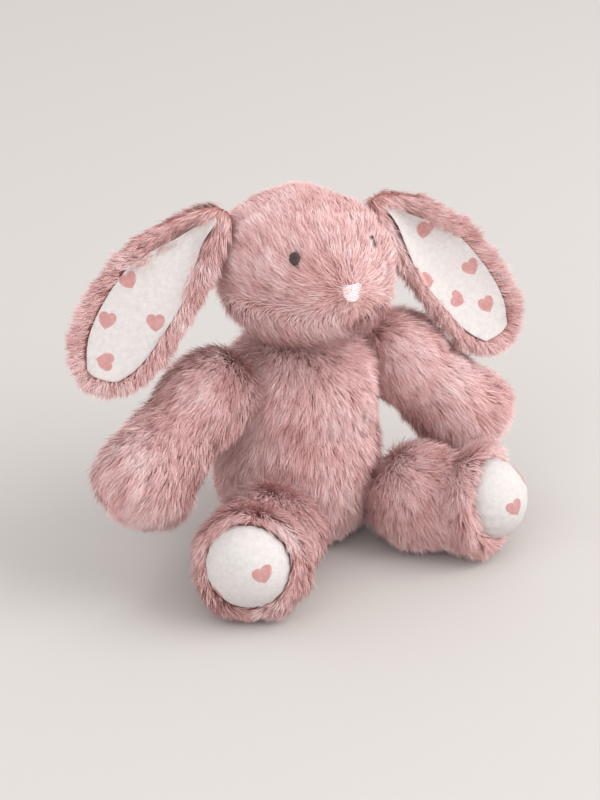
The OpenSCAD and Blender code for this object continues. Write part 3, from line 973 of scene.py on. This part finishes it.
def grow(name, body, panel, seed):
    """The pile of one panel as a plain mesh."""
    helper = mesh_object(name + "_helper", padded[body].data.copy())
    mesh = run_tree(helper, pile, {"Panel": panel, "Seed": seed, "Strand": blade,
        "Material": rose_pile})
    for attribute in [a.name for a in mesh.attributes]:
        if attribute in LEFTOVERS:
            mesh.attributes.remove(mesh.attributes[attribute])
    mesh.name = name
    return mesh_object(name, mesh)


# %% Grow every panel
total = 0
for body, panels in BAGS.items():
    for number, panel in enumerate(panels):
        if panel.endswith("foot_pad"):
            continue
        fur = grow(panel + "_pile", body, number, 11 + number)
        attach(fur, body)
        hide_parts(panel)
        triangles = len(fur.data.loops) - 2 * len(fur.data.polygons)
        total += triangles
        print(fur.name, triangles, "triangles")
print("pile in all", total, "triangles")

# %% [markdown]
# ## Printed velour
# The ear linings and the sole pads are short white velour with small hearts printed on it.
# A heart is a mask: a curve in two coordinates that is below zero inside. One shader group
# holds it, and each heart is a Mapping node that brings the point into the heart's own plane.

# %% An empty shader group
def group_of(name, inputs, outputs):
    """An empty shader group with named sockets."""
    tree = bpy.data.node_groups.new(name, "ShaderNodeTree")
    for label, kind in inputs.items():
        tree.interface.new_socket(label, in_out="INPUT", socket_type=kind)
    for label, kind in outputs.items():
        tree.interface.new_socket(label, in_out="OUTPUT", socket_type=kind)
    return tree, tree.nodes.new("NodeGroupInput").outputs, tree.nodes.new("NodeGroupOutput")


# %% A printed heart
def heart_group():
    """1 inside a heart of half width 1 about the origin of its vector's XY plane."""
    tree, given, result = group_of("printed_heart",
        {"Vector": "NodeSocketVector", "Softness": "NodeSocketFloat"}, {"Mask": "NodeSocketFloat"})
    ragged = add(tree, "ShaderNodeTexNoise", {"Vector": given["Vector"], "Scale": 5.0, "Detail": 2.0})
    shifted = vectors(tree, "ADD", given["Vector"], vectors(tree, "MULTIPLY", vectors(tree,
        "SUBTRACT", ragged.outputs["Color"], (0.5, 0.5, 0.5)), (0.07, 0.07, 0.0)))
    parts = add(tree, "ShaderNodeSeparateXYZ", {0: shifted})
    x = maths(tree, "MULTIPLY", parts.outputs[0], 1.15)
    y = maths(tree, "MULTIPLY", parts.outputs[1], 1.15)
    x_squared = maths(tree, "MULTIPLY", x, x)
    y_squared = maths(tree, "MULTIPLY", y, y)
    bulk = maths(tree, "SUBTRACT", maths(tree, "ADD", x_squared, y_squared), 1.0)
    cube = maths(tree, "MULTIPLY", maths(tree, "MULTIPLY", bulk, bulk), bulk)
    cleft = maths(tree, "MULTIPLY", maths(tree, "MULTIPLY", x_squared, y_squared), y)
    height = maths(tree, "SUBTRACT", cube, cleft)
    mask = add(tree, "ShaderNodeMapRange", {0: height, 1: given["Softness"],
        2: maths(tree, "MULTIPLY", given["Softness"], -1.0), 3: 0.0, 4: 1.0},
        interpolation_type="SMOOTHSTEP")
    tree.links.new(mask.outputs[0], result.inputs[0])
    return tree


# %% The nap of velour
def nap_group():
    """Short velour nap: a fine height, and a soft change of brightness over the cloth."""
    tree, given, result = group_of("velour_nap", {"Vector": "NodeSocketVector"},
        {"Height": "NodeSocketFloat", "Shade": "NodeSocketFloat"})
    fine = add(tree, "ShaderNodeTexNoise", {"Vector": given["Vector"], "Scale": 2600.0,
        "Detail": 2.0, "Roughness": 0.7})
    brushed = add(tree, "ShaderNodeTexNoise", {"Vector": given["Vector"], "Scale": 420.0,
        "Detail": 3.0})
    height = maths(tree, "ADD", fine.outputs[0], maths(tree, "MULTIPLY", brushed.outputs[0], 0.6))
    shade = maths(tree, "ADD", maths(tree, "MULTIPLY", fine.outputs[0], 0.5),
        maths(tree, "MULTIPLY", brushed.outputs[0], 0.5))
    tree.links.new(height, result.inputs[0])
    tree.links.new(shade, result.inputs[1])
    return tree


heart = heart_group()
nap = nap_group()

# %% Velour with hearts
HEART_HALF = 4.3 * MM
EDGE_SOFTNESS = 0.02


def velour(name, hearts, across, up, face):
    """Velour with hearts at (centre, turn in degrees) on a plane given by its three axes."""
    made, tree, shader = new_material(name)
    spot = add(tree, "ShaderNodeTexCoord").outputs["Object"]
    pressed = add(tree, "ShaderNodeGroup", node_tree=nap)
    tree.links.new(spot, pressed.inputs[0])
    cloth = ramp(tree, pressed.outputs["Shade"],
        [(0.25, rgb(190, 185, 183)), (0.5, rgb(205, 200, 198)), (0.75, rgb(216, 212, 210))])
    print_colour = ramp(tree, pressed.outputs["Shade"],
        [(0.25, rgb(166, 112, 110)), (0.5, rgb(188, 134, 132)), (0.75, rgb(206, 158, 156))])
    masks = None
    plane = Matrix((across, up, face)).transposed()
    for centre, degrees in hearts:
        turned = plane @ Matrix.Rotation(math.radians(degrees), 3, "Z")
        local = add(tree, "ShaderNodeMapping", {0: spot}, vector_type="TEXTURE")
        local.inputs["Location"].default_value = centre
        local.inputs["Rotation"].default_value = turned.to_euler()
        local.inputs["Scale"].default_value = (HEART_HALF,) * 3
        one = add(tree, "ShaderNodeGroup", node_tree=heart)
        tree.links.new(local.outputs[0], one.inputs["Vector"])
        one.inputs["Softness"].default_value = EDGE_SOFTNESS
        masks = one.outputs[0] if masks is None else maths(tree, "MAXIMUM", masks, one.outputs[0])
    strength = maths(tree, "MULTIPLY", masks, 0.92)
    tree.links.new(mix(tree, strength, cloth, print_colour), shader.inputs["Base Color"])
    bump = add(tree, "ShaderNodeBump", {"Height": pressed.outputs["Height"], "Strength": 0.35,
        "Distance": 0.25 * MM})
    tree.links.new(bump.outputs[0], shader.inputs["Normal"])
    shader.inputs["Roughness"].default_value = 0.9
    shader.inputs["Specular IOR Level"].default_value = 0.1
    shader.inputs["Sheen Weight"].default_value = 0.12
    shader.inputs["Sheen Roughness"].default_value = 0.5
    return made


# %% [markdown]
# ## Ear linings
# A lining is one flat leaf of velour, stretched over the hollow front of an ear. The CAD solid
# gives its outline. The leaf is pressed in along its middle, most of all near the root, where
# the ear is folded into the head seam, and puckered a little along its sewn edge.

# %% Where the hearts lie, as (share along, share across, turn in degrees)
EAR_HEARTS = {
    "right": [(0.86, -0.20, -70), (0.69, -0.60, 22), (0.49, -0.66, 62), (0.58, 0.68, 35)],
    "left": [(0.80, 0.30, -20), (0.60, 0.62, -10), (0.30, 0.34, -50), (0.66, -0.40, 25),
        (0.46, -0.80, 40)],
}


# %% A smooth copy of a CAD solid
def smooth_copy(name, node, levels):
    """A merged and subdivided copy of a CAD node's mesh."""
    merged = bmesh.new()
    merged.from_mesh(frame["nodes"][node].data)
    bmesh.ops.remove_doubles(merged, verts=merged.verts, dist=0.01 * MM)
    bmesh.ops.recalc_face_normals(merged, faces=merged.faces)
    rough = bpy.data.meshes.new(name)
    merged.to_mesh(rough)
    merged.free()
    helper = mesh_object(name + "_helper", rough)
    finer = helper.modifiers.new("subdivide", "SUBSURF")
    finer.levels = levels
    finer.render_levels = levels
    made = mesh_object(name, evaluated_mesh(helper))
    drop(helper)
    made.data.name = name
    made.data.shade_smooth()
    return made


# %% Make the linings
LINING_SINK = 0.4 * MM
PUCKER = 0.16 * MM
TIP_BULGE = 3.0 * MM


def ear_lining(side):
    """One pressed and puckered lining with its printed hearts."""
    made = smooth_copy(side + "_ear_velour", side + "_ear_lining", 2)
    _, _, along, across, face = ear_axes(side)
    points, _ = read_points(made.data)
    share, beside, half = ear_shares(side, points)
    depth = channel(share, beside) + LINING_SINK
    edge = step_between(np.abs(beside), 0.6, 0.95)
    pucker = PUCKER * edge * np.sin(share * 150 + 2 * np.sin(share * 31))
    narrow = (leaf_width(share) - 1) * np.clip(beside, -1, 1) * half
    tip_round = TIP_BULGE * step_between(share, 0.86, 0.94) * (1 - beside ** 2)
    moved = points + across * narrow[:, None] + along * tip_round[:, None]
    write_points(made.data, moved + face * (pucker - depth)[:, None])
    hearts = []
    for place, where, degrees in EAR_HEARTS[side]:
        grid = points[np.argmin((share - place) ** 2 + 0.09 * (beside - where) ** 2)]
        hearts.append((Vector(grid), degrees))
    made.data.materials.clear()
    made.data.materials.append(velour(side + "_ear_print", hearts, across, -along, face))
    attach(made, side + "_ear")
    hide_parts(side + "_ear_lining")


for side in SIDES:
    ear_lining(side)

# %% [markdown]
# ## Sole pads
# A sole pad is a small cushion of the same velour: a disc with a crowned front, sewn into the
# round opening of the foot. Its outline is turned about the foot's axis, ring by ring, and
# gathers are raised round its seam.

# %% The pads' outline and hearts, as shares of radius and thickness
PAD_PROFILE = [(0.0, 0.0), (0.5, 0.0), (0.9, 0.02), (1.0, 0.3), (1.0, 0.6), (0.95, 0.92), (0.85, 1.2),
    (0.68, 1.48), (0.45, 1.68), (0.2, 1.78), (0.0, 1.8)]
PAD_HEARTS = {"right": [(0.52, 0.18, 20), (-0.62, -0.62, 60)], "left": [(-0.5, 0.1, 15),
    (0.35, 0.55, -40)]}


# %% Make the sole pads
PAD_OVERLAP = 0.8 * MM
PAD_SIDES = 64
PAD_GATHER = 0.012
PAD_PRINT_DEPTH = 1.6


def sole_pad(side):
    """A crowned disc on the sole's axis, with gathers along its seam."""
    node = side + "_foot_pad"
    points = node_points(node)
    centre = middle(node)
    along = unit((centre - pivot(side + "_leg_lift")) * [1, 1, 0])
    spans = (points - centre) @ along
    low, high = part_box(node)
    radius = (high[2] - low[2]) / 2 + PAD_OVERLAP
    back_at = centre + along * spans.min()
    thick = np.ptp(spans)
    across = np.cross(UP, along)
    rings = []
    for reach, depth in PAD_PROFILE[1:-1]:
        for k in range(PAD_SIDES):
            a = 2 * math.pi * k / PAD_SIDES
            gather = 1 + PAD_GATHER * math.sin(a * 21 + math.sin(a * 5)) * (0.9 < reach)
            out = (across * math.cos(a) + UP * math.sin(a)) * radius * reach * gather
            rings.append(back_at + out + along * thick * depth)
    last = len(rings)
    rings.append(back_at)
    rings.append(back_at + along * thick * PAD_PROFILE[-1][1])
    faces = []
    for row in range(len(PAD_PROFILE) - 3):
        for k in range(PAD_SIDES):
            n = (k + 1) % PAD_SIDES
            start, above = row * PAD_SIDES, (row + 1) * PAD_SIDES
            faces.append((start + k, start + n, above + n, above + k))
    top = last - PAD_SIDES
    for k in range(PAD_SIDES):
        n = (k + 1) % PAD_SIDES
        faces.append((last, n, k))
        faces.append((last + 1, top + k, top + n))
    mesh = bpy.data.meshes.new(side + "_sole_pad")
    mesh.from_pydata([tuple(p) for p in rings], [], faces, shade_flat=False)
    made = mesh_object(side + "_sole_pad", mesh)
    hearts = []
    for right, up, degrees in PAD_HEARTS[side]:
        spot = back_at + (across * right + UP * up) * radius
        spot += along * thick * PAD_PRINT_DEPTH
        hearts.append((Vector(spot), degrees))
    mesh.materials.append(velour(side + "_sole_print", hearts, across, UP, along))
    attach(made, side + "_leg")
    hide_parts(node)
    print(made.name, round(2 * radius / MM, 1), "mm across")


for side in SIDES:
    sole_pad(side)

# %% [markdown]
# ## Stitched eyes and nose
# The eyes and the nose are satin stitch: threads laid side by side until they fill a shape.
# Geometry Nodes lay them out. A line of points gives the rows, a curve gives each row's
# width, and a bowed tube of thread is scaled to that width.

# %% Thread material
def thread_material(name, dark, light, roughness):
    """Twisted thread: its colour changes in fine slanted bands."""
    made, tree, shader = new_material(name)
    spot = add(tree, "ShaderNodeTexCoord").outputs["Object"]
    twist = add(tree, "ShaderNodeTexWave", {"Vector": spot, "Scale": 900.0, "Distortion": 2.0},
        bands_direction="DIAGONAL")
    speck = add(tree, "ShaderNodeTexNoise", {"Vector": spot, "Scale": 1400.0})
    share = maths(tree, "ADD", maths(tree, "MULTIPLY", twist.outputs["Fac"], 0.6),
        maths(tree, "MULTIPLY", speck.outputs[0], 0.4))
    tree.links.new(ramp(tree, share, [(0.15, dark), (0.85, light)]), shader.inputs["Base Color"])
    bump = add(tree, "ShaderNodeBump", {"Height": share, "Strength": 0.3, "Distance": 0.1 * MM})
    tree.links.new(bump.outputs[0], shader.inputs["Normal"])
    shader.inputs["Roughness"].default_value = roughness
    shader.inputs["Sheen Weight"].default_value = 0.15
    return made


eye_thread = thread_material("eye_thread", rgb(38, 24, 23), rgb(82, 58, 56), 0.45)
nose_thread = thread_material("nose_thread", rgb(226, 206, 208), rgb(255, 246, 247), 0.4)
seam_thread = thread_material("seam_thread", rgb(176, 122, 120), rgb(214, 166, 163), 0.6)

# %% [markdown]
# One function builds the three trees that sew satin stitch, one tree for each outline: an oval
# for an eye, a rounded triangle for the nose and a straight bar for the short stitches.

# %% The satin stitch tree
SATIN_INPUTS = {
    "Rows": ("NodeSocketInt", 10),
    "Half width": ("NodeSocketFloat", 5 * MM),
    "Half height": ("NodeSocketFloat", 4 * MM),
    "Thread": ("NodeSocketFloat", 0.4 * MM),
    "Bow": ("NodeSocketFloat", 1.5 * MM),
    "Seed": ("NodeSocketInt", 1),
    "Centre": ("NodeSocketVector", None),
    "Turn": ("NodeSocketRotation", None),
    "Material": ("NodeSocketMaterial", None),
}


def satin_tree(name, outline):
    """Rows of thread; outline gives (share up the shape, share of the half width) points."""
    tree, given, result = new_tree(name, SATIN_INPUTS)
    rows = maths(tree, "SUBTRACT", given["Rows"], 1.0)
    pitch = maths(tree, "DIVIDE", maths(tree, "MULTIPLY", given["Half height"], 2.0), rows)
    start = add(tree, "ShaderNodeCombineXYZ",
        {2: maths(tree, "MULTIPLY", given["Half height"], -1.0)}).outputs[0]
    step = add(tree, "ShaderNodeCombineXYZ", {2: pitch}).outputs[0]
    line = add(tree, "GeometryNodeMeshLine",
        {"Count": given["Rows"], "Start Location": start, "Offset": step})
    share = maths(tree, "DIVIDE", add(tree, "GeometryNodeInputIndex").outputs[0], rows)
    shape = add(tree, "ShaderNodeFloatCurve", {"Value": share})
    curve = shape.mapping.curves[0]
    for place, height in outline[1:-1]:
        curve.points.new(place, height)
    curve.points[0].location = outline[0]
    curve.points[-1].location = outline[-1]
    shape.mapping.update()
    uneven = add(tree, "FunctionNodeRandomValue", {2: 0.93, 3: 1.07, "Seed": given["Seed"]},
        data_type="FLOAT").outputs[1]
    width = maths(tree, "MULTIPLY", maths(tree, "MULTIPLY", shape.outputs[0], given["Half width"]),
        uneven)
    size = add(tree, "ShaderNodeCombineXYZ", {0: width, 1: 1.0, 2: 1.0}).outputs[0]
    bow = add(tree, "ShaderNodeCombineXYZ", {1: maths(tree, "MULTIPLY", given["Bow"], -2.0)})
    arc = add(tree, "GeometryNodeCurveQuadraticBezier", {"Resolution": 10, "Start": (-1, 0, 0),
        "Middle": bow.outputs[0], "End": (1, 0, 0)})
    ring = add(tree, "GeometryNodeCurvePrimitiveCircle", {"Resolution": 7,
        "Radius": given["Thread"]})
    tube = add(tree, "GeometryNodeCurveToMesh", {"Curve": arc.outputs[0],
        "Profile Curve": ring.outputs[0], "Fill Caps": True})
    tilt = add(tree, "FunctionNodeRandomValue", {2: -0.03, 3: 0.03, "Seed": given["Seed"]},
        data_type="FLOAT").outputs[1]
    lean = add(tree, "FunctionNodeAxisAngleToRotation", {"Axis": (0, 1, 0), "Angle": tilt})
    laid = add(tree, "GeometryNodeInstanceOnPoints", {"Points": line.outputs[0],
        "Instance": tube.outputs[0], "Rotation": lean.outputs[0], "Scale": size})
    real = add(tree, "GeometryNodeRealizeInstances", {"Geometry": laid.outputs[0]})
    placed = add(tree, "GeometryNodeTransform", {"Geometry": real.outputs[0],
        "Translation": given["Centre"], "Rotation": given["Turn"]})
    tinted = add(tree, "GeometryNodeSetMaterial",
        {"Geometry": placed.outputs[0], "Material": given["Material"]})
    tree.links.new(tinted.outputs[0], result.inputs[0])
    return tree


oval = satin_tree("oval_stitches",
    [(0, 0.3), (0.15, 0.72), (0.35, 0.95), (0.5, 1), (0.65, 0.95), (0.85, 0.72), (1, 0.3)])
snout = satin_tree("snout_stitches",
    [(0, 0.5), (0.18, 0.74), (0.42, 0.93), (0.68, 1), (0.88, 0.96), (1, 0.76)])
bar = satin_tree("bar_stitches", [(0, 1), (0.5, 1), (1, 1)])


def stitched(name, tree, body, node, values):
    """Runs a stitch tree with its inputs and hands over a plain mesh."""
    helper = mesh_object(name + "_helper", bpy.data.meshes.new(name + "_helper"))
    made = mesh_object(name, run_tree(helper, tree, values))
    made.data.name = name
    made.data.shade_smooth()
    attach(made, body)
    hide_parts(node)
    print(name, len(made.data.polygons), "faces")
    return made


# %% [markdown]
# The eyes are pulled in by their thread, so they sit a little below the pile. Each shape is
# turned so that its rows face the way the head faces at that place.

# %% Sew the eyes
def turned_to(normal, up=(0, 0, 1)):
    """The turn that brings -Y to a normal and keeps Z near up."""
    y = -Vector(normal).normalized()
    x = y.cross(Vector(up)).normalized()
    return Matrix((x, y, x.cross(y))).transposed().to_euler()


head_middle = (middle("head_left_panel") + middle("head_right_panel")) / 2
for side in SIDES:
    low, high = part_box(side + "_eye")
    half_height = (high[2] - low[2]) / 2
    outwards = unit((eyes_at[side] - head_middle) * [1.25, 0.75, 0.6])
    sunk = {"left": 4.4 * MM, "right": 1.5 * MM}[side]
    stitched(side + "_eye_stitches", oval, "head", side + "_eye", {
        "Rows": 12, "Half width": 2.7 * MM, "Half height": half_height - 0.3 * MM,
        "Thread": 0.42 * MM, "Bow": 1.3 * MM, "Seed": 3,
        "Centre": tuple(eyes_at[side] - outwards * sunk), "Turn": turned_to(outwards),
        "Material": eye_thread})

# %% Sew the nose and the mouth
low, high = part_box("nose")
stitched("nose_stitches", snout, "head", "nose", {
    "Rows": 11, "Half width": 5.1 * MM, "Half height": (high[2] - low[2]) / 2 - 0.5 * MM,
    "Thread": 0.36 * MM, "Bow": 1.1 * MM, "Seed": 5,
    "Centre": tuple(nose_at + np.array([0, 0.7 * MM, 0])), "Turn": turned_to((0, -1, 0.12)),
    "Material": nose_thread})
mouth_at = middle("mouth_stitch")
stitched("mouth_thread", bar, "head", "mouth_stitch", {
    "Rows": 2, "Half width": 2.4 * MM, "Half height": 0.35 * MM, "Thread": 0.3 * MM,
    "Bow": 0.5 * MM, "Seed": 7, "Centre": tuple(mouth_at + np.array([0, 0.8 * MM, 0])),
    "Turn": turned_to((0, -1, 0), (1, 0, 0)), "Material": seam_thread})

# %% [markdown]
# ## Closing stitches and care label
# The back seam is closed by hand after stuffing, with short ladder stitches. The care label is
# a blank strip of satin, folded double and caught in the seat seam.

# %% Close the back seam
low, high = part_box("closing_stitches")
seam_middle = (np.array(low) + np.array(high)) / 2
stitched("back_seam_stitches", bar, "torso", "closing_stitches", {
    "Rows": 6, "Half width": 2.3 * MM, "Half height": (high[2] - low[2]) / 2 - 1 * MM,
    "Thread": 0.4 * MM, "Bow": 0.8 * MM, "Seed": 9, "Centre": tuple(seam_middle),
    "Turn": turned_to((0, 1, 0.1)), "Material": seam_thread})

# %% [markdown]
# The label is satin, which shines along its threads. Its strip rises from the seam, turns over
# a narrow fold and comes back, so it is modelled as one sheet that follows that path, and a
# Solidify modifier gives it the thickness of ribbon.

# %% Fold the label
RIBBON = 0.15 * MM

label_cloth, tree, shader = new_material("label_satin")
spot = add(tree, "ShaderNodeTexCoord").outputs["Object"]
weave = add(tree, "ShaderNodeTexWave", {"Vector": spot, "Scale": 1200.0}, bands_direction="Z")
tree.links.new(ramp(tree, weave.outputs["Fac"], [(0, rgb(226, 222, 216)), (1, rgb(245, 243, 239))]),
    shader.inputs["Base Color"])
bump = add(tree, "ShaderNodeBump", {"Height": weave.outputs["Fac"], "Strength": 0.2,
    "Distance": 0.05 * MM})
tree.links.new(bump.outputs[0], shader.inputs["Normal"])
shader.inputs["Roughness"].default_value = 0.35
shader.inputs["Anisotropic"].default_value = 0.4


def care_label():
    """A strip that rises from the seam, folds over and comes back, as one curved sheet."""
    label = node_points("care_label")
    centre = label.mean(0)
    outwards = unit(centre * [1, 1, 0])
    across = np.cross(UP, outwards)
    width = np.ptp(label @ across)
    height = np.ptp(label[:, 2])
    foot = centre + outwards * 1.2 * MM
    foot[2] = label[:, 2].min() + 1 * MM
    rows, columns = 26, 9
    fold = 0.55 * MM
    points = []
    for row in range(rows):
        t = row / (rows - 1)
        if t < 0.46:
            rise, out = height * t / 0.46, fold
        elif t > 0.54:
            rise, out = height * (1 - t) / 0.46, -fold
        else:
            a = math.pi * (t - 0.46) / 0.08
            rise, out = height + fold * math.sin(a), fold * math.cos(a)
        lean = 2.2 * MM * (rise / height) ** 2
        for column in range(columns):
            c = column / (columns - 1) - 0.5
            curl = 1.1 * MM * (4 * c * c) * (rise / height)
            points.append(foot + across * c * width + UP * rise + outwards * (out + lean - curl))
    faces = []
    for row in range(rows - 1):
        for column in range(columns - 1):
            k = row * columns + column
            faces.append((k, k + columns, k + columns + 1, k + 1))
    mesh = bpy.data.meshes.new("folded_label")
    mesh.from_pydata([tuple(p) for p in points], [], faces, shade_flat=False)
    made = mesh_object("folded_label", mesh)
    mesh.materials.append(label_cloth)
    wall = made.modifiers.new("cloth", "SOLIDIFY")
    wall.thickness = RIBBON
    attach(made, "torso")
    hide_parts("care_label")


care_label()

# %% [markdown]
# The threads that gather the neck, the shoulders and the hips are the CAD solids themselves.
# They only need their thread's material.

# %% Ties
for node in ["neck_tie"] + [side + kind for side in SIDES for kind in ("_arm_tie", "_leg_tie")]:
    for place in frame["nodes"][node].material_slots:
        place.material = seam_thread

# %% [markdown]
# Between the strands the knitted backing of the pile shows through, darker than they are: partly its
# own colour and partly painted shade deep in the pile. The padded bodies wear it.

# %% Finish the padded bodies
backing, tree, shader = new_material("pile_backing")
spot = add(tree, "ShaderNodeTexCoord").outputs["Object"]
knit = add(tree, "ShaderNodeTexNoise", {"Vector": spot, "Scale": 700.0, "Detail": 3.0})
# the backing's colour is partly its own and partly painted shade, darker than the strands' roots as
# the shade deep in the pile
tree.links.new(ramp(tree, knit.outputs[0], [(0.3, rgb(140, 84, 78)), (0.7, rgb(184, 126, 121))]),
    shader.inputs["Base Color"])
shader.inputs["Roughness"].default_value = 0.9
for name, body in padded.items():
    for attribute in ("lay", "rise", "strand_length", "panel"):
        body.data.attributes.remove(body.data.attributes[attribute])
    body.data.materials.clear()
    body.data.materials.append(backing)
    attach(body, name)
    if name in FILLINGS:
        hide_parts(*FILLINGS[name])
drop(blade)

# %% Finish
bpy.context.view_layer.update()
